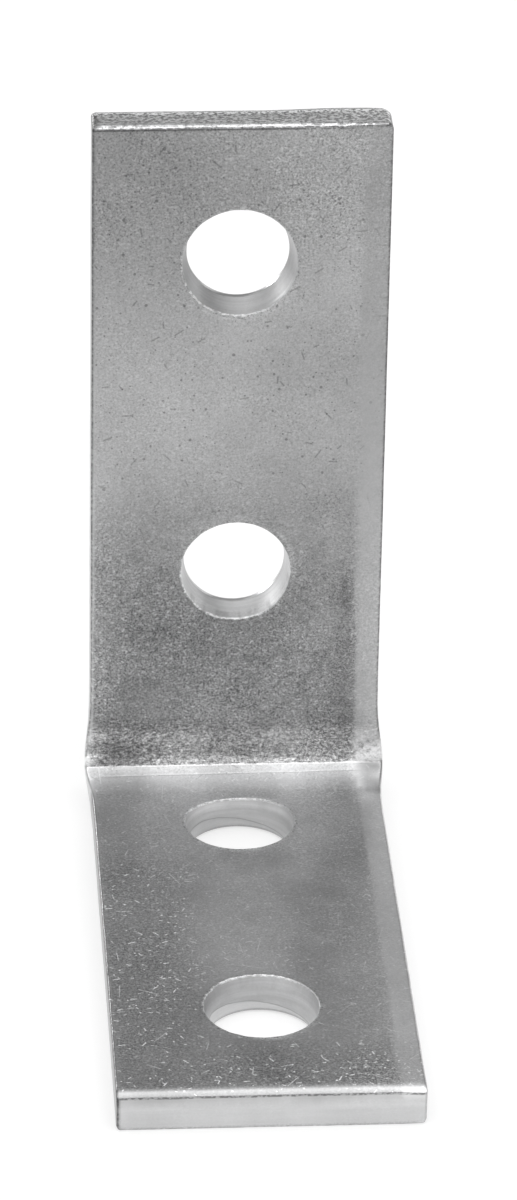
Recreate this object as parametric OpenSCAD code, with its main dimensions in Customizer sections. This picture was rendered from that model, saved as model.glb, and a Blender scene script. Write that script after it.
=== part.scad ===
// Angle bracket for framing channel: one flat steel bar, punched with two
// holes in each leg and folded to a right angle.
//
// Frame: +Z up along the upright leg, the foot leg runs towards -Y, X across
// the bar. The origin is under the middle of the part's box, on the surface
// that the foot rests on.

/* [Bar] */
// Width of the bar, mm
plate_w = 41; // [36:0.5:50]
// Thickness of the bar, mm
plate_t = 5.5; // [5:0.1:8]
// Radius along the long edges, mm
edge_r = 0.7; // [0.3:0.1:1.2]

/* [Legs] */
// Height of the upright leg, from the underside of the foot, mm
upright_h = 105.6; // [100:0.1:140]
// Length of the foot leg, from the back of the upright, mm
foot_l = 90.9; // [88:0.1:120]
// Radius of the rolled edges at the sheared ends, mm
end_r = 0.9; // [0.3:0.1:1.2]
// Radius of the foot's lower end edge, where the shear left it crisp, mm
crisp_r = 0.3; // [0.2:0.1:0.8]

/* [Bend] */
// Radius inside the bend, mm
bend_r = 4; // [1:0.1:6]
// How far each side swells at the inside of the bend, mm
swell_out = 0.7; // [0.2:0.1:0.9]
// Reach of that swelling along each leg, mm
swell_reach = 9; // [6:0.5:12]

/* [Punched holes] */
// Diameter of the straight part of a hole, mm
hole_d = 14.3; // [11:0.1:15]
// Distance between the two holes of a leg, mm
hole_pitch = 48; // [44:0.1:52]
// Lower hole of the upright leg, above the underside of the foot, mm
upright_hole_z = 36.9; // [30:0.1:40]
// Inner hole of the foot leg, from the back of the upright, mm
foot_hole_y = 21.7; // [20:0.1:26]
// Roll-in of the rim on the face that the punch entered, mm
roll_r = 0.7; // [0.3:0.1:1]
// Depth of the tapered break-out below the inner face, mm
break_h = 3; // [1:0.1:3]
// Growth in radius of the break-out, mm
break_out = 0.6; // [0.2:0.1:1]

/* [Hidden] */
$fn = 96;
back_y = foot_l / 2;            // outer face of the upright
tip_y = -foot_l / 2;            // sheared end of the foot
bend_out = bend_r + plate_t;    // radius of the outer face round the bend
swell_ball = (swell_reach * swell_reach + swell_out * swell_out) / (2 * swell_out);
hole_r = hole_d / 2;

// Section of the bar: across in X, from the outer face (y = 0) to the inner
// face (y = plate_t), with its four long edges rounded.
module bar_section() {
    for (y = [edge_r, plate_t - edge_r], x = [-1, 1])
        translate([x * (plate_w / 2 - edge_r), y]) circle(edge_r);
    translate([-plate_w / 2 + edge_r, 0]) square([plate_w - 2 * edge_r, plate_t]);
    translate([-plate_w / 2, edge_r]) square([plate_w, plate_t - 2 * edge_r]);
}

// Upright leg, from the end of the bend to its sheared top.
module upright_leg() {
    translate([0, back_y, bend_out])
        linear_extrude(upright_h - bend_out)
            mirror([0, 1]) bar_section();
}

// Foot leg, from the end of the bend to its sheared tip.
module foot_leg() {
    translate([0, back_y - bend_out, 0])
        rotate([90, 0, 0])
            linear_extrude(foot_l - bend_out) bar_section();
}

// Quarter turn of the same section, from the foot up into the upright.
module bend_quarter() {
    translate([0, back_y - bend_out, bend_out])
        rotate([0, 90, 0])
            rotate_extrude(angle = 90)
                translate([bend_out, 0]) rotate([0, 0, 90]) bar_section();
}

// Outline of the bend seen from the side, with a short run of each leg, in
// the plane of Y and Z. It keeps the swelling inside the bar's own thickness.
module bend_side() {
    difference() {
        union() {
            translate([back_y - plate_t, bend_out]) square([plate_t, swell_reach]);
            translate([back_y - bend_out - swell_reach, 0]) square([swell_reach, plate_t]);
            intersection() {
                translate([back_y - bend_out, bend_out]) circle(bend_out);
                translate([back_y - bend_out, 0]) square([bend_out, bend_out]);
            }
        }
        translate([back_y - bend_out, bend_out]) circle(bend_r);
    }
}

// The metal that the bend squeezed out sideways: a shallow cap on each side,
// centred on the inside of the bend.
module bend_swell() {
    half = plate_w / 2 + swell_out;
    for (s = [-1, 1]) intersection() {
        translate([s > 0 ? 0 : -half, 0, 0])
            rotate([90, 0, 90]) linear_extrude(half) bend_side();
        translate([s * (half - swell_ball), back_y - plate_t - 0.3 * bend_r,
                   plate_t + 0.3 * bend_r])
            sphere(swell_ball, $fn = 180);
    }
}

// What a rounded edge takes off a square end edge that runs along X.
// (y, z) is the sharp corner, (sy, sz) points out of the metal there.
module end_edge(y, z, sy, sz, r) {
    translate([-plate_w, y - sy * r, z - sz * r])
        rotate([90, 0, 90]) linear_extrude(2 * plate_w)
            difference() {
                translate([sy > 0 ? 0 : -2 * r, sz > 0 ? 0 : -2 * r]) square(2 * r);
                circle(r);
            }
}

// One punched hole, with z = 0 on the outer face and the inner face at
// z = plate_t: the rolled-in rim, the straight band, and the break-out.
module punched_hole() {
    translate([0, 0, -1]) cylinder(r = hole_r, h = plate_t + 2);
    translate([0, 0, -1]) cylinder(r = hole_r + roll_r, h = 1);
    rotate_extrude() difference() {
        square([hole_r + roll_r, roll_r]);
        translate([hole_r + roll_r, roll_r]) circle(roll_r);
    }
    translate([0, 0, plate_t - break_h])
        cylinder(r1 = hole_r, r2 = hole_r + break_out, h = break_h);
    translate([0, 0, plate_t]) cylinder(r = hole_r + break_out, h = 1);
}

module angle_bracket() {
    color("#a6a8aa")
    difference() {
        union() {
            upright_leg();
            foot_leg();
            bend_quarter();
            bend_swell();
        }
        end_edge(back_y, upright_h, 1, 1, end_r);
        end_edge(back_y - plate_t, upright_h, -1, 1, end_r);
        end_edge(tip_y, plate_t, -1, 1, end_r);
        end_edge(tip_y, 0, -1, -1, crisp_r);
        for (k = [0, 1]) {
            translate([0, back_y, upright_hole_z + k * hole_pitch])
                rotate([90, 0, 0]) punched_hole();
            translate([0, back_y - foot_hole_y - k * hole_pitch, 0])
                punched_hole();
        }
    }
}

angle_bracket();
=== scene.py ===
import math
import bpy
import numpy as np
from mathutils import Matrix, Vector


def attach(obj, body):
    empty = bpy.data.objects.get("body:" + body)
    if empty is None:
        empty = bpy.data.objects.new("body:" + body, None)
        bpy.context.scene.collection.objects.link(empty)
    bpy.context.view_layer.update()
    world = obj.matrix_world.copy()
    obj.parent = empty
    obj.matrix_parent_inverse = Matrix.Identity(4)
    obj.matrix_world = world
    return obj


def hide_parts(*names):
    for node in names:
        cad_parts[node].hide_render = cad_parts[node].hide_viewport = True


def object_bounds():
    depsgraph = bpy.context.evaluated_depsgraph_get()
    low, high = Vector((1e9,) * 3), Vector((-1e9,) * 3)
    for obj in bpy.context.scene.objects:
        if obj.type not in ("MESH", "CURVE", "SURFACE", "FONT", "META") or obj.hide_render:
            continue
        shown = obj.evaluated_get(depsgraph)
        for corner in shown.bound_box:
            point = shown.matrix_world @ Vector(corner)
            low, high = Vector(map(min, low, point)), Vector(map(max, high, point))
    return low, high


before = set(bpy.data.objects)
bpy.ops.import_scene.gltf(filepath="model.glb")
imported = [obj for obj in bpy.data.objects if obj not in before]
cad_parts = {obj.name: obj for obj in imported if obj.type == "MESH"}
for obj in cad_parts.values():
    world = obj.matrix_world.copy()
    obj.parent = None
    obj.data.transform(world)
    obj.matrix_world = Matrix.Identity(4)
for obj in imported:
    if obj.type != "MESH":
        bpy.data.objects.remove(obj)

CAD_LO, CAD_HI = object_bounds()
NODE = "angle_bracket"

# ---------------------------------------------------------------------------
# Sizes, in millimetres. Working coordinates: x across the bar, y from the
# inner face of the upright (y = 0) back to its outer face (y = T), z up from
# the underside of the foot. They are moved to the row frame at the end.
# ---------------------------------------------------------------------------
T = 5.5
HALF = 20.5                      # half of the bar's width
L_UP = (CAD_HI.z - CAD_LO.z) * 1000
L_FOOT = (CAD_HI.y - CAD_LO.y) * 1000
Y_SHIFT = CAD_HI.y * 1000 - T    # working y -> row y
TIP_Y = T - L_FOOT               # sheared tip of the foot
R_OUT = 9.5                      # outside radius of the bend
BEND_Y0, BEND_Z1 = -6.9, 12.0    # where the bend zone starts and ends

# One entry per hole: leg, x of its middle, place along the leg, rim radius on
# the inner face, half size of the mesh block round it.
HOLES = [
    ("foot", -0.09, T - 69.86, 7.74, 10.0),
    ("foot", -0.09, T - 21.44, 7.66, 9.04),
    ("up", -0.10, 36.95, 7.68, 10.0),
    ("up", -0.20, 84.92, 7.90, 10.0),
]
R_BAND = 7.14                    # the straight, burnished part of a hole


# Light and finish. The light tent's brightness by height over the floor, in
# degrees, and by side: front, right, back, left.
TENT = [                       # heights from and to, then brightness in front, right, back, left
    (0, 14, 1.59, 1.25, 1.34, 1.31),
    (14, 28, 0.50, 0.32, 0.14, 0.35),
    (28, 42, 0.02, 0.24, 0.51, 0.31),
    (42, 56, 0.86, 0.79, 0.56, 0.84),
    (56, 70, 3.41, 2.47, 1.82, 2.41),
    (70, 80, 2.92, 1.75, 0.58, 1.75),
    (80, 90, 1.25, 1.00, 0.85, 1.00),
]
STREAK = 18.0
FLOOR_GLOW, FLOOR_FRONT, FLOOR_SIDE, FLOOR_ALBEDO = 0.62, 0.08, 0.10, 0.42
BASE, METAL, ROUGH = 0.60, 0.95, 0.285


# ---------------------------------------------------------------------------
# Seeded value noise, the same on every run
# ---------------------------------------------------------------------------
def _lattice(ix, iy, iz, seed):
    m = np.int64(0xFFFFFFFF)
    h = (ix * 374761393 + iy * 668265263 + iz * 2246822519 + seed * 97471193) & m
    h = ((h ^ (h >> 13)) * 1274126177) & m
    h = ((h ^ (h >> 15)) * 2246822519) & m
    h = h ^ (h >> 16)
    return h / float(0xFFFFFFFF) * 2.0 - 1.0


def noise(x, y=0.0, z=0.0, seed=0):
    x, y, z = np.broadcast_arrays(np.asarray(x, float), np.asarray(y, float), np.asarray(z, float))
    i = [np.floor(v).astype(np.int64) for v in (x, y, z)]
    f = [v - np.floor(v) for v in (x, y, z)]
    f = [v * v * v * (v * (v * 6 - 15) + 10) for v in f]
    out = 0.0
    for a in (0, 1):
        for b in (0, 1):
            for c in (0, 1):
                w = ((f[0] if a else 1 - f[0]) * (f[1] if b else 1 - f[1]) * (f[2] if c else 1 - f[2]))
                out = out + w * _lattice(i[0] + a, i[1] + b, i[2] + c, seed)
    return out


def fbm(x, y=0.0, z=0.0, seed=0, octaves=3, gain=0.5):
    total, amp, norm = 0.0, 1.0, 0.0
    for k in range(octaves):
        total = total + amp * noise(np.asarray(x) * 2 ** k, np.asarray(y) * 2 ** k, np.asarray(z) * 2 ** k, seed + 17 * k)
        norm += amp
        amp *= gain
    return total / norm


def smooth(a, b, v):
    t = np.clip((v - a) / (b - a), 0.0, 1.0)
    return t * t * (3 - 2 * t)


# ---------------------------------------------------------------------------
# The bar's path round the bend. s runs from the foot's tip to the top of the
# upright; each s has a point on the inner face and one on the outer face.
# ---------------------------------------------------------------------------
def inner_path(shift):
    """Inner face round the bend. The pressed fillet ends at a kink; shift moves the kink up the bend, in mm."""
    # slope angle (90 deg = along the upright) against path length
    seg = [(1.25, 4, 11), (1.10, 11, 17.5), (0.80, 17.5, 21.5), (0.66, 21.5, 27), (0.14 + shift, 27, 29), (0.28, 29, 33),
           (0.12, 33, 50), (1.60 - shift, 50, 60), (1.62, 60, 71), (1.50, 71, 81), (0.8, 81, 89)]
    pts, y, z = [(BEND_Y0, T)], BEND_Y0, T
    for length, a0, a1 in seg:
        n = 24
        for k in range(n):
            a = math.radians(a0 + (a1 - a0) * (k + 0.5) / n)
            y += math.cos(a) * length / n
            z += math.sin(a) * length / n
            pts.append((y, z))
    # scale the curve so that it meets the upright's face exactly
    p = np.array(pts)
    p[:, 0] = BEND_Y0 - (p[:, 0] - BEND_Y0) * BEND_Y0 / (p[-1, 0] - BEND_Y0)
    return np.vstack([p, [[0.0, BEND_Z1]]])


def outer_path():
    """Outer face: straight, a quarter circle, straight."""
    o = [(BEND_Y0, 0.0), (T - R_OUT, 0.0)]
    for k in range(1, 61):
        a = math.radians(90.0 * k / 60)
        o.append((T - R_OUT + R_OUT * math.sin(a), R_OUT - R_OUT * math.cos(a)))
    o.append((T, BEND_Z1))
    return np.array(o)


def arc(p):
    return np.concatenate([[0.0], np.cumsum(np.hypot(*np.diff(p, axis=0).T))])


LEAN = 0.001                               # the kink climbs this much per mm across the bar
FAMILY = [inner_path(LEAN * c) for c in np.linspace(-HALF, HALF, 9)]
FAMILY_ARC = [arc(p) for p in FAMILY]
OUTER = outer_path()
AI, AO = FAMILY_ARC[4], arc(OUTER)
KINK = AI[24 * 6 + 12]                     # path length from the start of the bend to the kink, at the middle
# pair the two paths: the middle of the outer arc belongs to the kink
MID_O = (T - R_OUT - BEND_Y0) + R_OUT * math.pi / 4
S1 = BEND_Y0 - TIP_Y                       # s where the bend zone starts
S2 = S1 + AI[-1]                           # s where it ends
S_END = S2 + (L_UP - BEND_Z1)


def place(x, s, t):
    """y, z of a point at path length s and height t over the outer face."""
    x, s, t = np.broadcast_arrays(np.asarray(x, float), np.asarray(s, float), np.asarray(t, float))
    u = np.clip(s - S1, 0, AI[-1])
    v = np.where(u < KINK, u / KINK * MID_O, MID_O + (u - KINK) / (AI[-1] - KINK) * (AO[-1] - MID_O))
    iy, iz = np.zeros(u.shape), np.zeros(u.shape)
    c = np.clip((x + HALF) / (2 * HALF) * 8, 0, 8)
    for k in range(9):
        w = np.maximum(0.0, 1.0 - np.abs(c - k))
        a = u / AI[-1] * FAMILY_ARC[k][-1]
        iy += w * np.interp(a, FAMILY_ARC[k], FAMILY[k][:, 0])
        iz += w * np.interp(a, FAMILY_ARC[k], FAMILY[k][:, 1])
    oy, oz = np.interp(v, AO, OUTER[:, 0]), np.interp(v, AO, OUTER[:, 1])
    foot, up = s < S1, s > S2
    iy = np.where(foot, TIP_Y + s, iy)
    oy = np.where(foot, TIP_Y + s, oy)
    iz = np.where(foot, T, np.where(up, BEND_Z1 + (s - S2), iz))
    oz = np.where(up, BEND_Z1 + (s - S2), oz)
    w = t / T
    return oy + (iy - oy) * w, oz + (iz - oz) * w


def s_of(leg, c):
    return c - TIP_Y if leg == "foot" else S2 + (c - BEND_Z1)


# ---------------------------------------------------------------------------
# Grid lines of the unfolded bar
# ---------------------------------------------------------------------------
STEP = 0.56


def span(a, b, step=STEP):
    n = max(1, int(round((b - a) / step)))
    return list(np.linspace(a, b, n + 1)[1:])


EDGE = [0.0, 0.028, 0.11, 0.24, 0.42, 0.70]            # steps in from a long edge
END = [0.0, 0.03, 0.10, 0.22, 0.38, 0.58, 0.82, 1.1, 1.42, 1.8]   # steps in from a sheared end
half_x = [0.0]
half_x += span(0, 9.04) + span(9.04, 10.0) + span(10.0, HALF - 3.6) + span(HALF - 3.6, HALF - 0.70)
half_x += [HALF - e for e in EDGE[::-1][1:]]
half_x = np.array(half_x)
XL = np.concatenate([-half_x[:0:-1], half_x])

holes = []
for leg, hx, c, rim, b in HOLES:
    sc = s_of(leg, c)
    holes.append(dict(leg=leg, x=hx, s=sc, rim=rim, b=b))
SL = list(END)
SL += span(END[-1], holes[0]["s"] - 10) + span(holes[0]["s"] - 10, holes[0]["s"] + 10)
SL += span(holes[0]["s"] + 10, holes[1]["s"] - 9.04) + span(holes[1]["s"] - 9.04, holes[1]["s"] + 9.04)
bend_start = holes[1]["s"] + 9.04
CREASE = S1 + 3.25                                     # where the fine crease lies
for a, b, st in ((bend_start, CREASE - 0.5, 0.34), (CREASE - 0.5, CREASE + 0.5, 0.11), (CREASE + 0.5, S1 + KINK - 0.5, 0.22),
                 (S1 + KINK - 0.5, S1 + KINK + 0.5, 0.085), (S1 + KINK + 0.5, S1 + KINK + 3.4, 0.21), (S1 + KINK + 3.4, S2, 0.34)):
    SL += span(a, b, st)
SL += span(S2, holes[2]["s"] - 10) + span(holes[2]["s"] - 10, holes[2]["s"] + 10)
SL += span(holes[2]["s"] + 10, holes[3]["s"] - 10) + span(holes[3]["s"] - 10, holes[3]["s"] + 10)
SL += span(holes[3]["s"] + 10, S_END - END[-1])
SL += [S_END - e for e in END[::-1][1:]]
SL = np.array(SL)
NX, NS = len(XL), len(SL)


def line_at(lines, v):
    k = int(np.argmin(np.abs(lines - v)))
    assert abs(lines[k] - v) < 1e-6, (v, lines[k])
    return k


# ---------------------------------------------------------------------------
# How far the surface lies below each face of the flat bar
# ---------------------------------------------------------------------------
def quarter(d, along, deep):
    """Drop of an elliptic rounding, at distance d from the edge."""
    q = np.clip(1.0 - d / along, 0.0, 1.0)
    return deep * (1.0 - np.sqrt(np.maximum(0.0, 1.0 - q * q)))


def roll(d, length, angle):
    """Drop of a roll-over whose slope grows evenly to angle (degrees) at the edge, at distance d from it."""
    a = math.radians(angle)
    return length / a * -np.log(np.cos(a * np.clip(1.0 - d / length, 0.0, 1.0)))


def drop(x, s, side):
    dx = HALF - np.abs(x)
    round_x = (0.34 if side > 0 else 0.66) + 0.07 * fbm(s * 0.35, np.sign(x), seed=3)
    ex = quarter(dx, round_x, round_x * 1.1)
    tip, top = s, S_END - s
    if side > 0:
        wob = 0.26 * fbm(x * 0.30, seed=11, octaves=4, gain=0.65)
        e1 = roll(tip, 2.0 + wob, 23.0)
        deep = 0.62 + 0.40 * smooth(-5.0, -13.0, x) + 0.22 * np.exp(-((x - 12.5) / 3.0) ** 2)
        deep = deep + 0.16 * fbm(x * 0.5, seed=14, octaves=4, gain=0.7)
        e2 = quarter(top, 0.42 + 0.08 * fbm(x * 0.6, seed=13, octaves=3), deep)
    else:
        e1 = quarter(tip, 0.28 + 0.05 * noise(x * 0.7, seed=15), 0.26 + 0.05 * noise(x * 0.9, seed=16))
        rt = 0.88 + 0.25 * smooth(12, 20, x) + 0.10 * fbm(x * 0.45, seed=17, octaves=4, gain=0.65)
        e2 = quarter(top, rt, rt)
    p = 3.0
    return (ex ** p + e1 ** p + e2 ** p) ** (1 / p)


def strips(x, s, side):
    """The narrow roll-off along both long sides of a face."""
    foot = s < S1
    wide = np.where(foot, 3.6 - 0.6 * np.clip(s / S1, 0, 1), 3.6)
    wide = wide + 0.25 * fbm(s * 0.06, np.sign(x), seed=21)
    over = np.abs(x) - (HALF - wide)
    slope = np.where(x > 0, math.tan(math.radians(3.0)), math.tan(math.radians(0.1)))
    soft = 0.16
    ramp = 0.5 * (over + np.sqrt(over * over + soft * soft)) - 0.5 * soft * 0.3
    k = 1.0 if side > 0 else 0.6
    away = 1.0 - 0.9 * np.exp(-((s - (S1 + 4.6)) / 3.0) ** 2)
    return np.maximum(0.0, ramp) * slope * k * away


def wave(x, s, side):
    big = fbm(x * 0.045, s * 0.035, side * 3.3, seed=31, octaves=2)
    mid = fbm(x * 0.16, s * 0.12, side * 5.1, seed=32, octaves=3)
    return 0.030 * big + 0.012 * mid


def face_t(x, s, side):
    """Height over the outer face of a point on the inner (side 1) or outer (side -1) face."""
    d = drop(x, s, side) + strips(x, s, side)
    w = wave(x, s, side)
    edge = np.minimum.reduce([HALF - np.abs(x), s, S_END - s])
    w = w * smooth(0.2, 3.0, edge)
    if side > 0:
        # crease left by the edge of the folding tool
        sc = CREASE + 0.010 * x + 0.06 * noise(x * 0.22, seed=41)
        deep = 0.032 * smooth(19.0, 17.0, np.abs(x + 0.4)) * (0.8 + 0.3 * noise(x * 0.35, seed=42))
        g = -deep * np.exp(-((s - sc) / 0.10) ** 2)
        # crushed, finely wrinkled metal in the hollow and just above it
        over = s - (S1 + KINK + LEAN * x)
        z1 = smooth(-0.05, 0.35, over) * smooth(S2 + 3.0, S2 - 1.0, s)
        g = g + 0.034 * z1 * fbm(x * 0.9, s * 2.4, seed=43, octaves=3, gain=0.6)
        # metal pushed up at both ends of the hollow
        xe = HALF - np.abs(x)
        ear = np.exp(-(xe / 2.2) ** 2) * np.exp(-((over - 0.9) / np.where((x > 0) & (over > 0.9), 2.3, 1.5)) ** 2)
        g = g + ear * np.where(x > 0, 0.17, 0.16)
        # the foot lifts a little before the fillet
        ramp = np.clip(s - (S1 - 3.0), 0.0, 3.0)
        g = g + 0.070 / 6.0 * ramp * ramp * smooth(S1 + 7.0, S1, s)
        return T - d + w + g
    return d + w


def swell(x, s, t):
    """Sideways swelling at the inside of the bend."""
    ds = (s - (S1 + 5.5)) / np.where(s < S1 + 5.5, 4.9, 4.6)
    amount = np.where(x > 0, 0.74, 0.86) * np.exp(-ds * ds) * (0.25 + 0.75 * smooth(0.0, 4.5, t))
    edge = smooth(HALF - 5.0, HALF, np.abs(x)) ** 2
    return np.sign(x) * amount * edge


def side_wave(x, s, t):
    a = 0.035 * fbm(s * 0.09, t * 0.1, np.sign(x) * 7.7, seed=51, octaves=3)
    a = a + 0.010 * fbm(s * 0.8, t * 0.7, np.sign(x) * 7.7, seed=52, octaves=2)
    return np.sign(x) * a * smooth(HALF - 0.9, HALF, np.abs(x))


# ---------------------------------------------------------------------------
# Mesh
# ---------------------------------------------------------------------------
PX, PS, PT = [], [], []          # unfolded place of each vertex
ZW, ZB, ZE = [], [], []          # zones: hole wall, burnished band, sheared end
ZL, ZR = [], []                  # mm in from a sheared end, mm out from a hole's rim
FU, FV = [], []                  # surface coordinates for streaks
QUADS = []
count = 0


def add(x, s, t, wall=0.0, band=0.0, end=0.0, lip=9.0, ring=9.0, u=None, v=None):
    global count
    x, s, t, wall, band, end, lip, ring = np.broadcast_arrays(x, s, t, wall, band, end, lip, ring)
    u = x if u is None else np.broadcast_to(u, x.shape)
    v = s if v is None else np.broadcast_to(v, x.shape)
    n = x.size
    for store, val in zip((PX, PS, PT, ZW, ZB, ZE, ZL, ZR, FU, FV), (x, s, t, wall, band, end, lip, ring, u, v)):
        store.append(np.asarray(val, float).ravel())
    ids = np.arange(count, count + n).reshape(x.shape)
    count += n
    return ids


def quads(a, b, c, d, flip=False):
    q = np.stack([np.ravel(a), np.ravel(b), np.ravel(c), np.ravel(d)], -1)
    QUADS.append(q[:, ::-1] if flip else q)


RC = 1.0                                         # block of the plan's corner


def round_plan(x, s):
    """Rounds the four corners of the plan."""
    x, s = x.copy(), s.copy()
    for sx in (-1, 1):
        for end in (0, 1):
            r = {(-1, 0): 0.45, (1, 0): 0.55, (-1, 1): 0.65, (1, 1): 1.15}[(sx, end)]
            u = sx * x - (HALF - r)
            v = (s - (S_END - r)) if end else (r - s)
            m = (u > 0) & (v > 0)
            if m.any():
                mx = np.maximum(u[m], v[m])
                k = mx / np.maximum(np.hypot(u[m], v[m]), 1e-9)
                x[m] = sx * (HALF - r + u[m] * k)
                s[m] = (S_END - r + v[m] * k) if end else (r - v[m] * k)
    return x, s


def hole_block(h):
    i0, i1 = line_at(XL, -h["b"]), line_at(XL, h["b"])
    j0, j1 = line_at(SL, h["s"] - h["b"]), line_at(SL, h["s"] + h["b"])
    return i0, i1, j0, j1


def rim_radius(h, k, theta):
    """Radius of hole k's rim on the inner face; theta from +x towards +s."""
    r = h["rim"] + 0.045 * fbm(np.cos(theta) * 1.2, np.sin(theta) * 1.2, k * 9.1, seed=61, octaves=2)
    r = r + 0.035 * fbm(np.cos(theta) * 7, np.sin(theta) * 7, k * 9.1, seed=62, octaves=3, gain=0.7)
    if k == 3:
        r = r + 0.10 * np.maximum(0, np.sin(theta)) ** 2
    if k == 1:                                    # squeezed by the bend beside it
        phi = theta - math.pi / 2                 # 0 towards the bend, + to the left
        c = np.cos(np.clip((phi + math.pi) % (2 * math.pi) - math.pi - math.radians(4), -math.pi / 2, math.pi / 2))
        r = r - 1.42 * np.abs(c) ** 2.3
    return r


LAYERS = 11
inner_rims, outer_rims, thetas = [], [], []


def make_face(side):
    gx, gs = np.meshgrid(XL, SL, indexing="ij")
    keep = np.ones_like(gx, bool)
    cell = np.ones((NX - 1, NS - 1), bool)
    blocks = [hole_block(h) for h in holes]
    for i0, i1, j0, j1 in blocks:
        keep[i0 + 1:i1, j0 + 1:j1] = False
        cell[i0:i1, j0:j1] = False
    ids = -np.ones(gx.shape, int)
    x, s = gx[keep], gs[keep]
    px, ps = round_plan(x, s)
    lip = np.minimum(s, S_END - s) if side > 0 else 9.0 + 0 * s
    ids[keep] = add(px, ps, face_t(x, s, side), lip=np.minimum(lip, 9.0))
    ii, jj = np.nonzero(cell)
    quads(ids[ii, jj], ids[ii + 1, jj], ids[ii + 1, jj + 1], ids[ii, jj + 1], flip=side < 0)
    rims = []
    for k, (h, (i0, i1, j0, j1)) in enumerate(zip(holes, blocks)):
        loop = [(i, j0) for i in range(i0, i1)] + [(i1, j) for j in range(j0, j1)]
        loop += [(i, j1) for i in range(i1, i0, -1)] + [(i0, j) for j in range(j1, j0, -1)]
        li, lj = np.array(loop).T
        n = len(loop)
        theta = -0.75 * math.pi + 2 * math.pi * np.arange(n) / n
        if side > 0:
            rr = rim_radius(h, k, theta) + rim_edge(k, theta)
        else:
            rr = np.full(n, R_BAND + 0.67) + 0.03 * fbm(np.cos(theta), np.sin(theta), k * 3.3, seed=65)
        qx, qs = h["x"] + rr * np.cos(theta), h["s"] + rr * np.sin(theta)
        bx, bs = XL[li], SL[lj]
        last = ids[li, lj]
        for m in range(1, LAYERS + 1):
            w = 1 - (1 - m / LAYERS) ** 1.7
            lx, ls = bx + (qx - bx) * w, bs + (qs - bs) * w
            t = face_t(lx, ls, side)
            near = np.hypot(lx - qx, ls - qs)
            if side > 0:
                burr = 0.05 + 0.05 * fbm(np.cos(theta) * 6, np.sin(theta) * 6, k * 5.7, seed=66, octaves=3, gain=0.7)
                t = t + np.maximum(0, burr) * np.exp(-(near / 0.45) ** 2)
                if k == 1:
                    t = t - 0.12 * np.exp(-(near / 1.2) ** 2) * np.maximum(0, np.sin(theta)) ** 2
            else:
                t = t + 0.06 * np.exp(-near / 0.8)
            cur = add(lx, ls, t, ring=np.minimum(near, 9.0) if side > 0 else 9.0)
            nxt = np.roll(np.arange(n), -1)
            quads(last, last[nxt], cur[nxt], cur, flip=side < 0)
            last = cur
        rims.append((last, qx, qs, t))
    return ids, rims, thetas


def rim_edge(k, theta):
    """Small, uneven rounding of a hole's rim on the inner face."""
    return 0.14 + 0.07 * fbm(np.cos(theta) * 5, np.sin(theta) * 5, k * 2.9, seed=67, octaves=3, gain=0.7)


inner_ids, inner_rims, _ = make_face(1)
outer_ids, outer_rims, _ = make_face(-1)

# hole walls
for k, h in enumerate(holes):
    n = len(inner_rims[k][0])
    theta = -0.75 * math.pi + 2 * math.pi * np.arange(n) / n
    ct, st = np.cos(theta), np.sin(theta)
    rim = rim_radius(h, k, theta)
    edge = rim_edge(k, theta)
    t_in, t_out = inner_rims[k][3], outer_rims[k][3]
    cone = (3.7 + 0.9 * ct) if h["leg"] == "foot" else (4.05 + 0.15 * ct)
    cone = cone + 0.18 * fbm(ct * 2.2, st * 2.2, k * 4.1, seed=71, octaves=3, gain=0.6)
    top = t_in - edge * 0.95                     # start of the cone
    bot = T - cone                               # start of the burnished band
    rows = []
    for a in (30.0, 60.0, 90.0):                 # the rim's small rounding
        a = math.radians(a)
        rows.append((rim + edge * (1 - math.sin(a)), t_in - edge * 0.95 * (1 - math.cos(a)), 1.0, 0.0))
    for f in (0.12, 0.26, 0.42, 0.58, 0.74, 0.88, 1.0):
        r = rim + (R_BAND - rim) * f ** 1.15
        rough = fbm(ct * 1.6, st * 1.6, f * 4.0 + k * 6.0, seed=72, octaves=3, gain=0.6)
        r = r + 0.035 * rough * math.sin(math.pi * min(1, f)) ** 0.5
        rows.append((r, top + (bot - top) * f, 1.0, 0.0))
    roll_r = (R_BAND + 0.67 + 0 * theta)
    t_roll = t_out + 0.67
    rows.append((R_BAND - 0.03 + 0 * theta, bot - 0.14, 0.5, 1.0))
    for f in (0.35, 0.7, 1.0):
        r = R_BAND - 0.03 + 0.01 * fbm(ct * 3, st * 3, k * 1.0, seed=73)
        rows.append((r, bot - 0.14 + (t_roll - bot + 0.14) * f, 0.0, 1.0))
    rim_out = np.hypot(outer_rims[k][1] - h["x"], outer_rims[k][2] - h["s"])
    for a in (15.0, 32.0, 50.0, 68.0):
        a = math.radians(a)
        rows.append((rim_out - (rim_out - R_BAND + 0.03) * math.cos(a), t_out + (t_roll - t_out) * (1 - math.sin(a)), 0.0, 0.7))
    last = inner_rims[k][0]
    nxt = np.roll(np.arange(n), -1)
    for r, t, wall, band in rows:
        depth = np.minimum(t_in - t, 9.0) + 0.0
        cur = add(h["x"] + r * ct, h["s"] + r * st, t, wall=wall, band=band, ring=-depth, u=theta * 7.4 + 60 * k, v=200 + t)
        quads(last, last[nxt], cur[nxt], cur)
        last = cur
    cur = outer_rims[k][0]
    quads(last, last[nxt], cur[nxt], cur)

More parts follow.
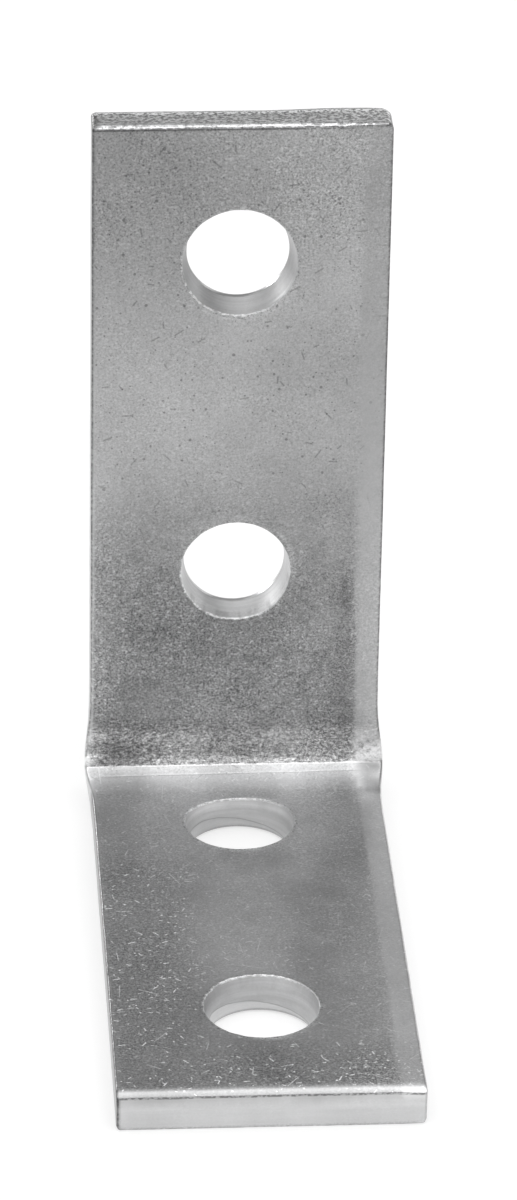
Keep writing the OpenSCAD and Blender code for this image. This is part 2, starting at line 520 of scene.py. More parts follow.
# side walls and sheared ends, round the perimeter
per = [(i, 0) for i in range(NX - 1)] + [(NX - 1, j) for j in range(NS - 1)]
per += [(i, NS - 1) for i in range(NX - 1, 0, -1)] + [(0, j) for j in range(NS - 1, 0, -1)]
pi, pj = np.array(per).T
top_ids, bot_ids = inner_ids[pi, pj], outer_ids[pi, pj]
ax, as_, at = np.concatenate(PX), np.concatenate(PS), np.concatenate(PT)
tx, ts, tt = ax[top_ids], as_[top_ids], at[top_ids]
bx, bs, bt = ax[bot_ids], as_[bot_ids], at[bot_ids]
is_end = ((pj == 0) | (pj == NS - 1)).astype(float)
rows = [0.05, 0.14, 0.26, 0.40, 0.55, 0.70, 0.84, 0.94]
last = top_ids
nxt = np.roll(np.arange(len(per)), -1)
for f in rows:
    x, s, t = tx + (bx - tx) * f, ts + (bs - ts) * f, tt + (bt - tt) * f
    # the shear leaves a slight hollow and a fracture step on the ends
    bow = 0.05 * math.sin(math.pi * f) + 0.025 * fbm(tx * 0.6, f * 3.0, seed=81, octaves=3, gain=0.6)
    s = s + np.where(pj == 0, bow, 0) - np.where(pj == NS - 1, bow, 0)
    cur = add(x, s, t, end=is_end, lip=np.where(is_end > 0, -(tt - t), 9.0), u=tx + ts, v=400 + t)
    quads(last, cur, cur[nxt], last[nxt])
    last = cur
quads(last, bot_ids, bot_ids[nxt], last[nxt])

PX, PS, PT = np.concatenate(PX), np.concatenate(PS), np.concatenate(PT)
ZW, ZB, ZE = np.concatenate(ZW), np.concatenate(ZB), np.concatenate(ZE)
ZL, ZR = np.concatenate(ZL), np.concatenate(ZR)
FU, FV = np.concatenate(FU), np.concatenate(FV)
QUADS = np.concatenate(QUADS)

X = PX + swell(PX, PS, PT) + side_wave(PX, PS, PT)
Y, Z = place(PX, PS, PT)
Z = Z + smooth(S_END - 2.5, S_END - 0.2, PS) * smooth(5.0, 0.6, PT) * (0.04 + 0.26 * smooth(2.0, 15.0, PX)) * smooth(HALF, HALF - 1.6, PX)
co = np.stack([X, Y + Y_SHIFT, Z], -1) / 1000.0
lo = np.array(CAD_LO) + [-0.0004, 0, 0]
hi = np.array(CAD_HI) + [0.0004, 0, 0.0004]
co = np.clip(co, lo, hi)

mesh = bpy.data.meshes.new("angle_bracket_skin")
mesh.vertices.add(len(co))
mesh.vertices.foreach_set("co", co.astype(np.float32).ravel())
mesh.loops.add(QUADS.size)
mesh.loops.foreach_set("vertex_index", QUADS.astype(np.int32).ravel())
mesh.polygons.add(len(QUADS))
mesh.polygons.foreach_set("loop_start", np.arange(0, QUADS.size, 4, dtype=np.int32))
mesh.polygons.foreach_set("use_smooth", np.ones(len(QUADS), bool))
mesh.update(calc_edges=True)
mesh.validate()


def attribute(name, values):
    a = mesh.attributes.new(name, "FLOAT", "POINT")
    a.data.foreach_set("value", np.asarray(values, np.float32))


attribute("hole_wall", ZW)
attribute("burnish", ZB)
attribute("sheared", ZE)
attribute("lip", ZL)
attribute("ring", ZR)
attribute("crown", (PS > S_END - 6.0).astype(float))
flat = mesh.attributes.new("flat", "FLOAT_VECTOR", "POINT")
flat.data.foreach_set("vector", np.stack([FU, FV, PT], -1).astype(np.float32).ravel())
side_in = smooth(T - 2.2, T - 1.2, PT)
low_edge = smooth(0.35, 0.05, PT) * (PS < 0.6)
over = PS - (S1 + KINK + LEAN * PX)
off_bend = 1.0 - smooth(-7.0, -4.5, over) * smooth(5.0, 2.5, over)
# mask of painted shade on the edges: the upright's top-left corner, low along the foot's left edge, the long edges and
# the tip's bottom edge
corner = smooth(1.05, 0.6, S_END - PS) * smooth(HALF - 1.05, HALF - 0.6, -PX) * (PT < T - 0.05)
corner = np.maximum(corner, 0.8 * smooth(0.95, 0.45, PT) * smooth(HALF - 0.8, HALF - 0.4, -PX) * (PS < S1 + 4))
attribute("painted_edge_shade", np.maximum(corner, np.maximum(smooth(0.46, 0.08, HALF - np.abs(PX)) * smooth(T - 2.0, T - 0.7, PT) * (0.15 + 0.85 * off_bend)
                              * np.where((PX > 0) & (PS < S1 + 2), 0.35, 1.0), np.maximum(low_edge, ZE * (PX < 0) * smooth(HALF - 0.6, HALF - 0.25, np.abs(PX))))))
# crushed zone of the bend, on the inner face
edge_s = S1 + KINK + 0.02 + LEAN * PX + 0.10 * fbm(PX * 0.8, seed=91)
crush = smooth(-0.02, 0.22, PS - edge_s) * (0.25 + 0.75 * smooth(S2 + 2.2, S2 - 1.8, PS)) * smooth(S2 + 26.0, S2 - 1.0, PS) * side_in
attribute("crush", crush * (0.66 + 0.24 * smooth(5.0, 15.0, np.abs(PX))))
strip_w = np.where(PX < 0, 0.5, np.where(PS < S1, 3.6 - 0.6 * np.clip(PS / S1, 0, 1), 3.6))
strip = smooth(-0.15, 0.15, np.abs(PX) - (HALF - strip_w) - 0.25 * fbm(PS * 0.06, np.sign(PX), seed=21)) * side_in
attribute("strip", strip)
foot_in = smooth(S1 + 4.5, S1 - 0.5, PS) * side_in
attribute("foot", foot_in)
# painted glint on the pushed-up metal at both ends of the hollow
ear_glint_r = smooth(16.3, 17.8, PX) * smooth(-0.2, 0.3, over) * smooth(4.6, 1.8, over)
ear_glint_l = smooth(-19.0, -20.0, PX) * smooth(0.0, 0.5, over) * smooth(2.2, 1.2, over)
attribute("ear", np.maximum(ear_glint_r, ear_glint_l) * side_in)
# strength of the grain: strongest low on the upright, near its top, and on the
# foot's left side and tip, in patches
up_h = (PS - S2) / (S_END - S2)
grain_up = 0.62 + 1.15 * smooth(0.44, 0.18, up_h) * side_in + 0.50 * smooth(0.70, 0.90, up_h)
tip_near = smooth(15.0, 5.0, PS)
left_on = smooth(-5.0, -13.0, PX) * smooth(S1 - 4.0, S1 - 26.0, PS)
grain_ft = 0.62 + 0.95 * np.maximum(tip_near, left_on) + 0.20 * smooth(8.0, 14.0, PX)
grain = grain_up + (grain_ft - grain_up) * foot_in
grain = grain * (1.0 + 0.45 * fbm(PX * 0.16, PS * 0.16, seed=95, octaves=4, gain=0.6))
grain = grain * (1.0 - 0.62 * strip * (1.0 - 0.7 * smooth(0.5, 0.8, up_h))) * (1.0 - 0.80 * np.maximum(np.maximum(ZW, ZB), ZE))
grain = grain * (1.0 - 0.72 * smooth(-6.5, -3.0, over) * smooth(0.15, -0.05, over) * side_in)
grain = grain * (1.0 - 0.75 * smooth(2.0, 1.0, PS) * side_in)
on_wall = (np.abs(PX) > HALF - 0.35) * smooth(T - 0.5, T - 1.2, PT) * smooth(0.2, 0.7, PT)
grain = grain * (1.0 - 0.50 * on_wall) * (0.85 + 0.15 * side_in)
attribute("grain_amp", grain)
attribute("dark_specks", (1.0 - 0.75 * foot_in) * (0.55 + 0.6 * smooth(0.25, 0.6, up_h)) * (1.0 - 0.6 * strip) * (1.0 - 0.6 * on_wall))
attribute("nick_amp", (0.10 + 0.25 * smooth(0.40, 0.10, up_h) * (1 - foot_in)
                       + foot_in * (0.35 + 0.65 * np.maximum(tip_near, 0.8 * left_on))) * (1.0 - 0.4 * strip))
# slow cloudiness of the plating, with painted shade and painted light laid on region by region below: lighter in the
# middle of the foot and low on the upright
cloud_and_painted_light = 0.055 * fbm(PX * 0.11, PS * 0.11, 3.0 * (PT < 2.75), seed=96, octaves=5, gain=0.62)
cloud_and_painted_light = cloud_and_painted_light + 0.03 * fbm(PX * 0.035, PS * 0.035, 3.0 * (PT < 2.75), seed=97, octaves=2)
dark_patch = np.maximum(0.0, fbm(PX * 0.13, PS * 0.10, seed=98, octaves=3)) * (0.16 * foot_in + 0.22 * smooth(0.50, 0.20, up_h) * (1 - foot_in))
cloud_and_painted_light = (1.0 + 2.0 * cloud_and_painted_light) * (1.0 - 1.6 * dark_patch * (1.0 - strip) * side_in)
# painted reflection: the right-hand roll-off strip is made lighter on the foot and darker on the upright
cloud_and_painted_light = cloud_and_painted_light * np.where(PX > 0, 1.0 + strip * (1.22 * foot_in + (0.82 + 0.17 * smooth(0.48, 0.86, up_h)) * (1 - foot_in) - 1.0), 1.0)
# painted shade (positive values) and painted light (negative values), placed region by region on the faces, round the
# bend and along the kink
painted_shade_and_light = 0.30 * smooth(-11.0, -16.5, PX) * smooth(-19.6, -18.0, PX) * smooth(-0.2, 0.4, over) * smooth(5.5, 2.0, over)
painted_shade_and_light = painted_shade_and_light - 0.30 * smooth(-17.6, -19.6, PX) * smooth(0.2, 1.2, over) * smooth(8.0, 4.0, over)
painted_shade_and_light = painted_shade_and_light - 0.09 * smooth(-16.0, -19.0, PX) * smooth(3.0, 6.0, over) * smooth(S2 + 26, S2 + 14, PS)
painted_shade_and_light = painted_shade_and_light + 0.28 * smooth(12.0, 15.8, PX) * smooth(S2 - 5.0, S2 - 1.0, PS) * smooth(S2 + 26, S2 + 16, PS) * (1.0 - strip)
painted_shade_and_light = painted_shade_and_light + 0.13 * smooth(12.0, 15.8, PX) * smooth(S2 + 16, S2 + 26, PS) * smooth(S2 + 40, S2 + 32, PS) * (1.0 - strip)
painted_shade_and_light = painted_shade_and_light + 0.14 * smooth(-2.0, 8.0, PX) * smooth(S2 + 30, S2 + 38, PS) * smooth(S2 + 66, S2 + 56, PS) * (1.0 - strip)
painted_shade_and_light = painted_shade_and_light + 0.08 * smooth(0.0, -10.0, PX) * smooth(S_END - 40, S_END - 28, PS) + 0.09 * smooth(0.0, -10.0, PX) * smooth(S_END - 20, S_END - 8, PS)
painted_shade_and_light = painted_shade_and_light - 0.09 * smooth(2.0, 8.0, PX) * smooth(S_END - 32, S_END - 24, PS) * (1.0 - strip)
painted_shade_and_light = painted_shade_and_light - 0.19 * smooth(44.0, 56.0, PS) * smooth(17.0, 13.0, np.abs(PX)) * smooth(S1 + 2, S1 - 6, PS) * foot_in
painted_shade_and_light = painted_shade_and_light + 0.08 * smooth(-3.0, -9.0, PX) * smooth(44.0, 38.0, PS) * smooth(12.0, 20.0, PS) * foot_in
painted_shade_and_light = painted_shade_and_light + 0.20 * smooth(11.0, 15.0, PX) * smooth(S1 - 7, S1 - 3, PS) * smooth(S1 + 3, S1 + 0.5, PS) * (1.0 - strip)
painted_shade_and_light = painted_shade_and_light + 0.46 * smooth(17.3, 18.7, PX) * smooth(-7.5, -5.5, over) * smooth(0.9, 0.2, over)
painted_shade_and_light = painted_shade_and_light + 0.18 * smooth(-17.0, -19.5, PX) * smooth(S1 - 16, S1 - 6, PS) * foot_in
painted_shade_and_light = painted_shade_and_light + 0.07 * smooth(8.0, 14.5, PX) * smooth(S2 + 50, S2 + 25, PS) * smooth(S2 - 4.0, S2 + 2.0, PS) * (1.0 - strip)
painted_shade_and_light = painted_shade_and_light + 0.11 * smooth(S1 - 35, S1 - 60, PS) * smooth(4.0, -6.0, PX) * foot_in
painted_shade_and_light = painted_shade_and_light - 0.12 * smooth(S1 - 34, S1 - 6, PS) * foot_in
painted_shade_and_light = painted_shade_and_light - 0.10 * smooth(-5.0, 6.0, PX) * smooth(12.0, 30.0, PS) * (1.0 - strip) * foot_in
painted_shade_and_light = painted_shade_and_light + 0.09 * smooth(-5.0, 6.0, PX) * smooth(14.0, 8.0, PS) * foot_in
painted_shade_and_light = painted_shade_and_light - 0.05 * smooth(0.46, 0.22, up_h) * (1 - foot_in) * (1 - strip)
painted_shade_and_light = painted_shade_and_light - 0.22 * smooth(-6.5, -3.8, over) * smooth(0.05, -0.05, over)
painted_shade_and_light = painted_shade_and_light + 0.13 * np.exp(-((over + 0.06) / 0.15) ** 2)
cloud_and_painted_light = cloud_and_painted_light * (1.0 - painted_shade_and_light * side_in)
veins = np.abs(fbm(PX * 0.42, PS * 0.55, seed=103, octaves=4, gain=0.6))
low_up = smooth(0.46, 0.22, up_h) * (1 - foot_in) * (1.0 - strip)
cloud_and_painted_light = cloud_and_painted_light * (1.0 - (0.17 * low_up + 0.05) * smooth(0.16, 0.0, veins) * side_in * (1.0 - smooth(-6.0, -4.0, over) * smooth(0.1, 0.0, over)))
# painted shade on the side walls by the long edges, most on the foot's left side, on the burnished bands, and on the
# walls of the holes near the top end and far along the foot
cloud_and_painted_light = cloud_and_painted_light * (1.0 - on_wall * np.where((PX < 0) & (PS < S1), 0.42, 0.14)) * (1.0 - 0.07 * ZB)
cloud_and_painted_light = cloud_and_painted_light * (1.0 - 0.17 * np.maximum(ZW, ZB) * ((PS > S_END - 40) | ((PS < S1) & (PS > 50))))
for h in holes[2:]:                              # lighter hole walls on the upright, with painted shade low on the left and a painted glint low on the right
    dx, dv = PX - h["x"], PS - h["s"]
    r = np.maximum(np.hypot(dx, dv), 1e-6)
    inside = (r < 8.6) * np.maximum(ZW, ZB)
    cloud_and_painted_light = cloud_and_painted_light * (1.0 + 0.20 * inside - 0.18 * inside * smooth(0.2, 0.9, -0.7 * dx / r - 0.7 * dv / r))
    cloud_and_painted_light = cloud_and_painted_light * (1.0 + 0.45 * inside * smooth(0.5, 1.0, ZB) * smooth(0.90, 0.985, 0.55 * dx / r - 0.83 * dv / r))
attribute("cloud_and_painted_light", cloud_and_painted_light)
# strength of the painted highlight on each hole's rim: strongest low on the left of the upright's holes and on the far
# side of the foot's holes
rim_glint_amp = np.zeros_like(PX)
for h in holes:
    dx, dv = PX - h["x"], PS - h["s"]
    r = np.maximum(np.hypot(dx, dv), 1e-6)
    c, d = dx / r, dv / r
    lead = (0.9 * d - 0.35 * c) if h["leg"] == "foot" else (-0.8 * d - 0.6 * c)
    rim_glint_amp = np.where(r < 10.5, 0.15 + 0.85 * smooth(0.0, 0.85, lead), rim_glint_amp)
attribute("rim_glint_amp", rim_glint_amp)
attribute("lip_far", 0.5 + 0.5 * fbm(PX * 0.20, seed=99, octaves=3, gain=0.6) + 0.30 * smooth(-7.0, -11.0, PX))

skin = bpy.data.objects.new("angle_bracket_skin", mesh)
bpy.context.scene.collection.objects.link(skin)


# ---------------------------------------------------------------------------
# Materials
# ---------------------------------------------------------------------------
class Tree:
    def __init__(self, material):
        material.use_nodes = True
        self.t = material.node_tree
        self.t.nodes.clear()

    def node(self, kind, **props):
        n = self.t.nodes.new(kind)
        for k, v in props.items():
            setattr(n, k, v)
        return n

    def link(self, a, b):
        self.t.links.new(a, b)

    def put(self, socket, value):
        if isinstance(value, (int, float)):
            socket.default_value = value
        elif isinstance(value, (tuple, list)):
            socket.default_value = value
        else:
            self.link(value, socket)

    def math(self, op, a, b=None, c=None, clamp=False):
        n = self.node("ShaderNodeMath", operation=op, use_clamp=clamp)
        for k, v in enumerate((a, b, c)):
            if v is not None:
                self.put(n.inputs[k], v)
        return n.outputs[0]

    def vmath(self, op, a, b=None, scale=None):
        n = self.node("ShaderNodeVectorMath", operation=op)
        self.put(n.inputs[0], a)
        if b is not None:
            self.put(n.inputs[1], b)
        if scale is not None:
            self.put(n.inputs["Scale"], scale)
        return n.outputs["Value"] if op in ("DOT_PRODUCT", "LENGTH", "DISTANCE") else n.outputs[0]

    def attr(self, name, vector=False):
        n = self.node("ShaderNodeAttribute", attribute_name=name)
        return n.outputs["Vector"] if vector else n.outputs["Fac"]

    def noise(self, vector, scale, detail=2.0, rough=0.5, distortion=0.0, color=False):
        n = self.node("ShaderNodeTexNoise")
        self.link(vector, n.inputs["Vector"])
        n.inputs["Scale"].default_value = scale
        n.inputs["Detail"].default_value = detail
        n.inputs["Roughness"].default_value = rough
        n.inputs["Distortion"].default_value = distortion
        return n.outputs["Color"] if color else n.outputs["Fac"]

    def ramp(self, fac, a, b, lo=0.0, hi=1.0, smooth=True):
        """Maps a..b of fac to lo..hi, clamped."""
        n = self.node("ShaderNodeMapRange", interpolation_type="SMOOTHSTEP" if smooth else "LINEAR", clamp=True)
        self.put(n.inputs["Value"], fac)
        for name, v in (("From Min", a), ("From Max", b), ("To Min", lo), ("To Max", hi)):
            self.put(n.inputs[name], v)
        return n.outputs["Result"]

    def mix(self, fac, a, b):
        n = self.node("ShaderNodeMix", data_type="FLOAT")
        self.put(n.inputs[0], fac)
        self.put(n.inputs[2], a)
        self.put(n.inputs[3], b)
        return n.outputs[0]

    def voronoi(self, vector, scale, feature="F1", randomness=1.0):
        n = self.node("ShaderNodeTexVoronoi", feature=feature, voronoi_dimensions="2D")
        self.link(vector, n.inputs["Vector"])
        n.inputs["Scale"].default_value = scale
        n.inputs["Randomness"].default_value = randomness
        return n

    def separate(self, vector):
        n = self.node("ShaderNodeSeparateXYZ")
        self.link(vector, n.inputs[0])
        return n.outputs

    def combine(self, x, y, z):
        n = self.node("ShaderNodeCombineXYZ")
        for k, v in enumerate((x, y, z)):
            self.put(n.inputs[k], v)
        return n.outputs[0]

    def scratches(self, plane, cell, length, width, share, seed, spread=6.28):
        """Short straight strokes, one in some of the cells, within spread (radians) of the x direction. plane is in mm."""
        moved = self.vmath("ADD", plane, (seed * 37.7, seed * 11.3, 0.0))
        v = self.voronoi(moved, 1.0 / cell)
        local = self.vmath("SUBTRACT", moved, v.outputs["Position"])
        rnd = self.separate(v.outputs["Color"])
        angle = self.math("MULTIPLY", self.math("SUBTRACT", rnd[0], 0.5), spread)
        ca, sa = self.math("COSINE", angle), self.math("SINE", angle)
        lx = self.separate(local)
        along = self.math("ADD", self.math("MULTIPLY", lx[0], ca), self.math("MULTIPLY", lx[1], sa))
        across = self.math("SUBTRACT", self.math("MULTIPLY", lx[1], ca), self.math("MULTIPLY", lx[0], sa))
        ln = self.math("MULTIPLY", self.ramp(rnd[1], 0.0, 1.0, 0.35, 1.0, False), length)
        a = self.math("DIVIDE", self.math("ABSOLUTE", along), ln)
        b = self.math("DIVIDE", self.math("ABSOLUTE", across), width)
        inside = self.math("MULTIPLY", self.ramp(a, 0.75, 1.0, 1.0, 0.0), self.ramp(b, 0.35, 1.0, 1.0, 0.0))
        return self.math("MULTIPLY", inside, self.math("LESS_THAN", rnd[2], share))

    def dots(self, plane, cell, radius, share, seed):
        """Specks of uneven size. plane is in mm."""
        moved = self.vmath("ADD", plane, (seed * 17.9, seed * 23.3, 0.0))
        v = self.voronoi(moved, 1.0 / cell)
        rnd = self.separate(v.outputs["Color"])
        dist = self.math("MULTIPLY", v.outputs["Distance"], cell)
        size = self.math("MULTIPLY", self.ramp(rnd[1], 0.0, 1.0, 0.35, 1.0, False), radius)
        inside = self.ramp(self.math("DIVIDE", dist, size), 0.55, 1.0, 1.0, 0.0)
        return self.math("MULTIPLY", inside, self.math("LESS_THAN", rnd[2], share))


def zinc():
    m = bpy.data.materials.new("zinc_plated_steel")
    t = Tree(m)
    out = t.node("ShaderNodeOutputMaterial")
    bsdf = t.node("ShaderNodeBsdfPrincipled")
    t.link(bsdf.outputs[0], out.inputs[0])

    mul, add_, sub = (lambda a, b: t.math("MULTIPLY", a, b)), (lambda a, b: t.math("ADD", a, b)), (lambda a, b: t.math("SUBTRACT", a, b))
    most = lambda a, b: t.math("MAXIMUM", a, b)

    def about(v, a, b, c, d):
        """1 between b and c, fading to 0 at a and d."""
        return mul(t.ramp(v, a, b), t.ramp(v, c, d, 1.0, 0.0))

    def vmix(fac, a, b):
        n = t.node("ShaderNodeMix", data_type="VECTOR")
        t.put(n.inputs[0], fac)
        t.put(n.inputs[4], a)
        t.put(n.inputs[5], b)
        return n.outputs[1]

    mm = t.vmath("SCALE", t.node("ShaderNodeTexCoord").outputs["Object"], scale=1000.0)      # millimetres
    flat = t.attr("flat", True)
    fx, fs, ft = t.separate(flat)
    plane = t.combine(t.math("MULTIPLY_ADD", t.math("LESS_THAN", ft, 2.75), 97.0, fx), fs, 0.0)
    wall, band, end = t.attr("hole_wall"), t.attr("burnish"), t.attr("sheared")
    crush, strip, ear, cloud_and_painted_light = t.attr("crush"), t.attr("strip"), t.attr("ear"), t.attr("cloud_and_painted_light")
    lip, ring, crown, painted_edge_shade, lip_far = t.attr("lip"), t.attr("ring"), t.attr("crown"), t.attr("painted_edge_shade"), t.attr("lip_far")
    face = t.math("SUBTRACT", 1.0, most(most(wall, band), end), clamp=True)
    top_end, tip_end = mul(end, crown), mul(end, sub(1.0, crown))

    grain = t.noise(mm, 3.3, 1.0, 0.6)
    crumb = t.noise(t.vmath("MULTIPLY", mm, (0.8, 1.0, 1.2)), 2.0, 2.0, 0.62)
    # one more noise, drawn out along the bend on the faces, round the wall in a
    # hole and along the cut on the tip, and blotchy on the top end
    place_ = vmix(most(most(wall, band), tip_end), t.vmath("MULTIPLY", mm, (1.5, 2.4, 3.6)), t.vmath("MULTIPLY", flat, (0.12, 1.5, 1.5)))
    place_ = vmix(top_end, place_, t.vmath("MULTIPLY", flat, (1.7, 1.7, 1.7)))
    third = t.noise(place_, 1.0, 2.0, 0.66)
    craze = t.ramp(t.math("ABSOLUTE", sub(crumb, 0.5)), 0.0, 0.07, 1.0, 0.0)

    # tone: 1 is the plain plating
    amp = t.attr("grain_amp")
    fine = add_(mul(sub(grain, 0.5), 0.85), mul(sub(crumb, 0.5), 0.50))
    tone = t.math("MULTIPLY_ADD", fine, amp, 1.0)
    tone = mul(tone, sub(1.0, mul(mul(craze, amp), 0.21)))
    tone = mul(tone, sub(1.0, mul(mul(t.ramp(grain, 0.28, 0.45, 1.0, 0.0), amp), mul(t.attr("dark_specks"), 0.16))))
    # plating cloudiness with the painted shade and painted light laid on it
    tone = mul(tone, cloud_and_painted_light)

    # dark pits and short dark strokes
    specks = mul(t.attr("dark_specks"), face)
    pits = most(t.dots(plane, 2.6, 0.30, 0.40, 1), t.dots(plane, 1.2, 0.17, 0.26, 2))
    tone = mul(tone, t.mix(mul(pits, specks), 1.0, 0.55))
    tone = mul(tone, t.mix(mul(t.scratches(plane, 3.2, 0.9, 0.16, 0.40, 3, 3.0), specks), 1.0, 0.66))

    # crushed zone over the bend: dark wrinkles
    crush = mul(crush, sub(1.0, most(mul(strip, 0.7), ear)))
    tone = mul(tone, t.mix(crush, 1.0, t.ramp(third, 0.38, 0.62, 0.40, 0.95)))

    # bright nicks
    nicks = most(t.scratches(plane, 2.3, 0.62, 0.13, 0.30, 5, 2.6), t.dots(plane, 1.5, 0.22, 0.28, 6))
    nicks = most(nicks, t.scratches(plane, 1.3, 0.34, 0.10, 0.26, 8, 2.2))
    nicks = most(nicks, mul(t.scratches(plane, 5.6, 2.2, 0.09, 0.45, 7), 0.7))
    nicks = mul(mul(nicks, t.attr("nick_amp")), face)

    # burr on the holes' rims: a painted highlight as a broken bright line, with dark specks beside it
    burr = mul(mul(about(ring, -0.34, -0.18, 0.06, 0.22), t.attr("rim_glint_amp")), t.ramp(crumb, 0.44, 0.56))
    rim_specks = mul(about(ring, -0.10, 0.04, 0.26, 0.50), t.ramp(grain, 0.54, 0.66))
    # sheared ends: a broken painted highlight along the top end's lip and a softer one on the tip's roll-over, and a
    # dark broken line where the lip meets the face, partly a real crack and partly painted shadow under the lip
    dark_top = mul(mul(about(lip, 0.30, 0.46, 0.60, 0.85), crown), t.ramp(add_(mul(crumb, 0.5), mul(lip_far, 0.5)), 0.43, 0.55))
    dark_tip = mul(mul(about(lip, -0.42, -0.24, -0.02, 0.08), sub(1.0, crown)), t.ramp(crumb, 0.40, 0.56, 0.28, 1.0))
    gleam = mul(mul(about(lip, 0.02, 0.10, 0.34, 0.55), t.ramp(crumb, 0.46, 0.60)), t.ramp(lip_far, 0.40, 0.55))
    gleam_tip = mul(about(lip, 0.06, 0.20, 0.85, 1.25), sub(1.0, crown))
    tone = mul(tone, t.mix(most(dark_top, dark_tip), 1.0, 0.38))
    # painted shade, in noisy patches, dims the bright lip highlight along the top end in places and lifts it a little
    # elsewhere
    lip_painted_shade = mul(about(lip, -0.25, -0.05, 0.42, 0.60), crown)
    tone = mul(tone, t.mix(lip_painted_shade, 1.0, t.ramp(add_(mul(crumb, 0.6), mul(lip_far, 0.4)), 0.42, 0.56, 0.52, 1.12)))
    tone = mul(tone, t.mix(rim_specks, 1.0, 0.50))

    # hole walls: faint rings, and a thin dark line where the break-out meets the burnished band
    tone = mul(tone, t.mix(most(most(wall, band), mul(tip_end, 0.35)), 1.0, t.ramp(third, 0.3, 0.7, 0.94, 1.04)))
    tone = mul(tone, sub(1.0, mul(mul(band, sub(1.0, band)), 1.3)))
    # the top end is mottled, with a painted highlight in broken specks along its rounded back edge
    back_edge_glint = mul(mul(about(ft, 0.20, 0.50, 1.2, 2.1), top_end), t.ramp(third, 0.43, 0.56))
    tone = mul(tone, t.mix(top_end, 1.0, t.ramp(third, 0.40, 0.60, 0.50, 1.45)))

    # painted shade on the edges: the long edges, the upright's top-left corner, low along the foot's left edge and the
    # tip's bottom edge
    foot = t.attr("foot")
    tone = mul(tone, t.mix(painted_edge_shade, 1.0, t.ramp(crumb, 0.38, 0.62, t.mix(foot, 0.36, 0.20), t.mix(foot, 0.66, 0.36))))

    # painted glint on the ends of the hollow, broken into specks
    ear_glint = mul(ear, t.ramp(crumb, 0.34, 0.50))
    # painted highlights on the rim burrs, the sheared lips, the top end's back edge and the ends of the hollow: they
    # raise the base colour and lower the metal
    painted_highlights = most(most(mul(burr, 1.0), mul(most(mul(gleam, crown), mul(gleam_tip, 0.35)), 0.9)), most(back_edge_glint, ear_glint))
    base = mul(tone, BASE)
    base = add_(base, mul(nicks, 0.44))
    base = add_(base, mul(painted_highlights, 0.26))
    matt = most(most(mul(nicks, 0.5), mul(ear_glint, 0.85)), mul(most(most(burr, back_edge_glint), mul(gleam, crown)), 0.5))
    base = t.math("MINIMUM", base, 0.95)
    rgb = t.combine(base, mul(base, 1.002), mul(base, 1.008))
    t.link(rgb, bsdf.inputs["Base Color"])
    t.link(t.math("SUBTRACT", METAL, matt), bsdf.inputs["Metallic"])

    rough = t.math("MULTIPLY_ADD", sub(grain, 0.5), 0.04, ROUGH)
    rough = add_(rough, mul(wall, 0.18))
    rough = t.math("MAXIMUM", add_(rough, mul(crush, 0.22)), 0.277)
    t.link(rough, bsdf.inputs["Roughness"])

    # bump, in millimetres
    h = mul(mul(sub(grain, 0.5), 0.010), amp)
    h = add_(h, mul(mul(sub(third, 0.5), add_(mul(crush, 0.75), top_end)), 0.08))
    h = add_(h, mul(mul(sub(crumb, 0.5), most(mul(about(lip, -0.3, 0.1, 0.6, 0.9), crown), about(ring, -0.3, -0.1, 0.2, 0.5))), 0.06))
    bump = t.node("ShaderNodeBump")
    bump.inputs["Strength"].default_value = 1.0
    bump.inputs["Distance"].default_value = 0.001
    t.link(h, bump.inputs["Height"])
    t.link(bump.outputs[0], bsdf.inputs["Normal"])
    return m


mesh.materials.append(zinc())
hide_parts(NODE)
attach(skin, "root")


# ---------------------------------------------------------------------------
# Floor
# ---------------------------------------------------------------------------
def stage_material(name, albedo, glow_from):
    """Matt surface that also glows; glow_from(tree) gives the strength."""
    m = bpy.data.materials.new(name)
    t = Tree(m)
    out = t.node("ShaderNodeOutputMaterial")
    bsdf = t.node("ShaderNodeBsdfPrincipled")
    bsdf.inputs["Base Color"].default_value = (albedo, albedo, albedo, 1)
    bsdf.inputs["Roughness"].default_value = 0.9
    bsdf.inputs["Specular IOR Level"].default_value = 0.0
    bsdf.inputs["Emission Color"].default_value = (1, 1, 1, 1)
    t.put(bsdf.inputs["Emission Strength"], glow_from(t))
    t.link(bsdf.outputs[0], out.inputs[0])
    return m


def staged(name, verts, faces, material):
    me = bpy.data.meshes.new(name)
    me.from_pydata([Vector(c) for c in verts], [], faces)
    o = bpy.data.objects.new(name, me)
    me.materials.append(material)
    bpy.context.scene.collection.objects.link(o)
    return o


# the floor glows most round the bracket, less in front of the foot and to the sides
def floor_glow(t):
    at = t.separate(t.node("ShaderNodeTexCoord").outputs["Object"])
    x = t.math("ABSOLUTE", t.math("SUBTRACT", at[0], 0.003))
    side = t.ramp(x, 0.045, 0.160, FLOOR_GLOW, FLOOR_SIDE)
    return t.ramp(at[1], -0.116, -0.060, FLOOR_FRONT, side)


F = 6.0
floor = staged("floor", [(-F, -F, 0), (F, -F, 0), (F, F, 0), (-F, F, 0)], [(0, 1, 2, 3)],
               stage_material("pale_floor", FLOOR_ALBEDO, floor_glow))

# ---------------------------------------------------------------------------
# Light: a soft tent, dim low down and bright overhead
# ---------------------------------------------------------------------------
world = bpy.data.worlds.new("studio")
bpy.context.scene.world = world
world.use_nodes = True
world.node_tree.nodes["Background"].inputs[0].default_value = (0.8, 0.8, 0.8, 1)
world.node_tree.nodes["Background"].inputs[1].default_value = 1.0


def tent_level(e, a):
    """Brightness at height e and azimuth a, both in degrees; a = 0 is the front, 90 the right."""
    w = [max(0.0, 1.0 - abs(((a - c + 180.0) % 360.0) - 180.0) / 90.0) for c in (0, 90, 180, 270)]
    rows = [sum(wk * v for wk, v in zip(w, row[2:])) for row in TENT]
    out = rows[0]
    for k in range(1, len(TENT)):
        f = min(1.0, max(0.0, (e - TENT[k][0] + 2.0) / 4.0))
        out = out + (rows[k] - out) * f
    return out


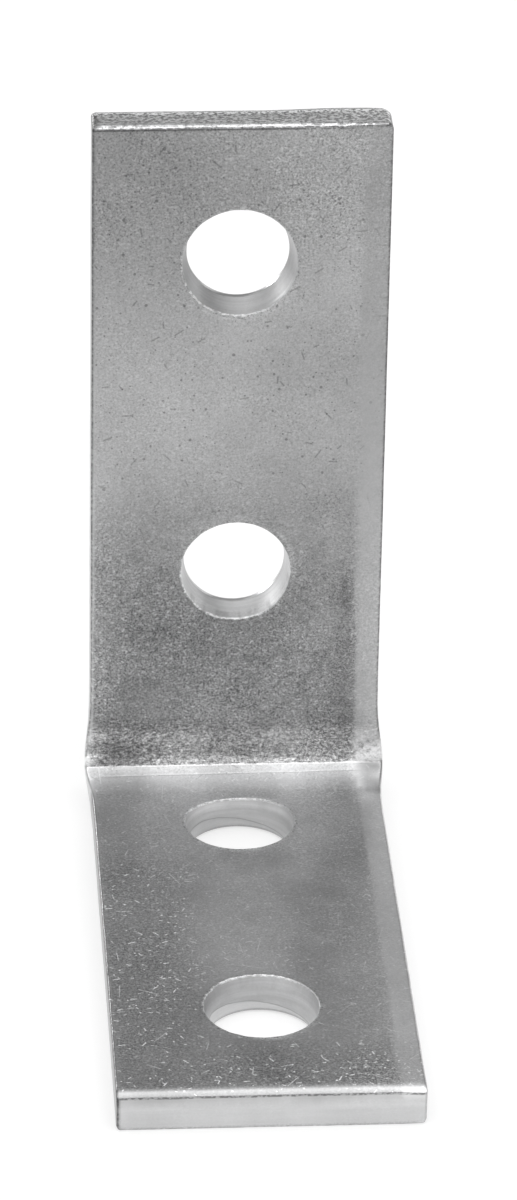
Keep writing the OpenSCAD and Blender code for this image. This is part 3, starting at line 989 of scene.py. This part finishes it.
TENT_R = 2.5
verts, faces, glow = [], [], []
heights = sorted({0.0, 90.0} | {b + d for b in (14, 28, 42, 56, 70, 80) for d in (-2.0, 0.0, 2.0)} | {7.0, 21.0, 35.0, 49.0, 63.0, 75.0, 85.0})
turns = 48
for e in heights:
    for k in range(turns):
        a = 360.0 * k / turns
        er, ar = math.radians(e), math.radians(a)
        verts.append((TENT_R * math.sin(ar) * math.cos(er), -TENT_R * math.cos(ar) * math.cos(er), TENT_R * math.sin(er)))
        glow.append(tent_level(e, a))
for r in range(len(heights) - 1):
    for k in range(turns):
        a, b = r * turns + k, r * turns + (k + 1) % turns
        faces.append((a, b, b + turns, a + turns))
tent = staged("light_tent", verts, faces, stage_material("light_tent", 0.0, lambda t: t.attr("glow")))
glow_at = tent.data.attributes.new("glow", "FLOAT", "POINT")
glow_at.data.foreach_set("value", np.array(glow, np.float32))
tent.visible_camera = False

# a small bright panel low down behind the upright
def panel(name, azimuth, height, distance, size, strength):
    a, e = math.radians(azimuth), math.radians(height)
    c = Vector((distance * math.sin(a) * math.cos(e), distance * math.cos(a) * math.cos(e), distance * math.sin(e)))
    r = Vector((math.cos(a), -math.sin(a), 0.0)) * size / 2
    u = c.cross(r).normalized() * size / 2
    o = staged(name, [c - r - u, c + r - u, c + r + u, c - r + u], [(0, 1, 2, 3)], stage_material(name, 0.0, lambda t: strength))
    o.visible_camera = False


panel("streak_panel", -27.0, 9.0, 1.2, 0.16, STREAK)

# ---------------------------------------------------------------------------
# Camera
# ---------------------------------------------------------------------------
az, el, roll = -0.07257, 0.50271, 0.01816
back = Vector((math.sin(az) * math.cos(el), -math.cos(az) * math.cos(el), math.sin(el)))
right = (-back).cross(Vector((0, 0, 1))).normalized()
up = right.cross(-back)
r2 = right * math.cos(roll) + up * math.sin(roll)
u2 = -right * math.sin(roll) + up * math.cos(roll)
pos = (Vector((3.19257, Y_SHIFT, 32.19947)) + back * 879.47707) / 1000.0
cam_data = bpy.data.cameras.new("camera")
cam_data.sensor_fit = "AUTO"
cam_data.sensor_width = 36.0
cam_data.lens = 6233.199 * 36.0 / 1200.0
cam_data.clip_start, cam_data.clip_end = 0.01, 100.0
cam = bpy.data.objects.new("camera", cam_data)
cam.matrix_world = Matrix((
    (r2.x, u2.x, back.x, pos.x),
    (r2.y, u2.y, back.y, pos.y),
    (r2.z, u2.z, back.z, pos.z),
    (0, 0, 0, 1)))
bpy.context.scene.collection.objects.link(cam)
bpy.context.scene.camera = cam
bpy.context.scene.view_settings.view_transform = "Standard"

print("triangles", len(QUADS) * 2, "verts", len(co))
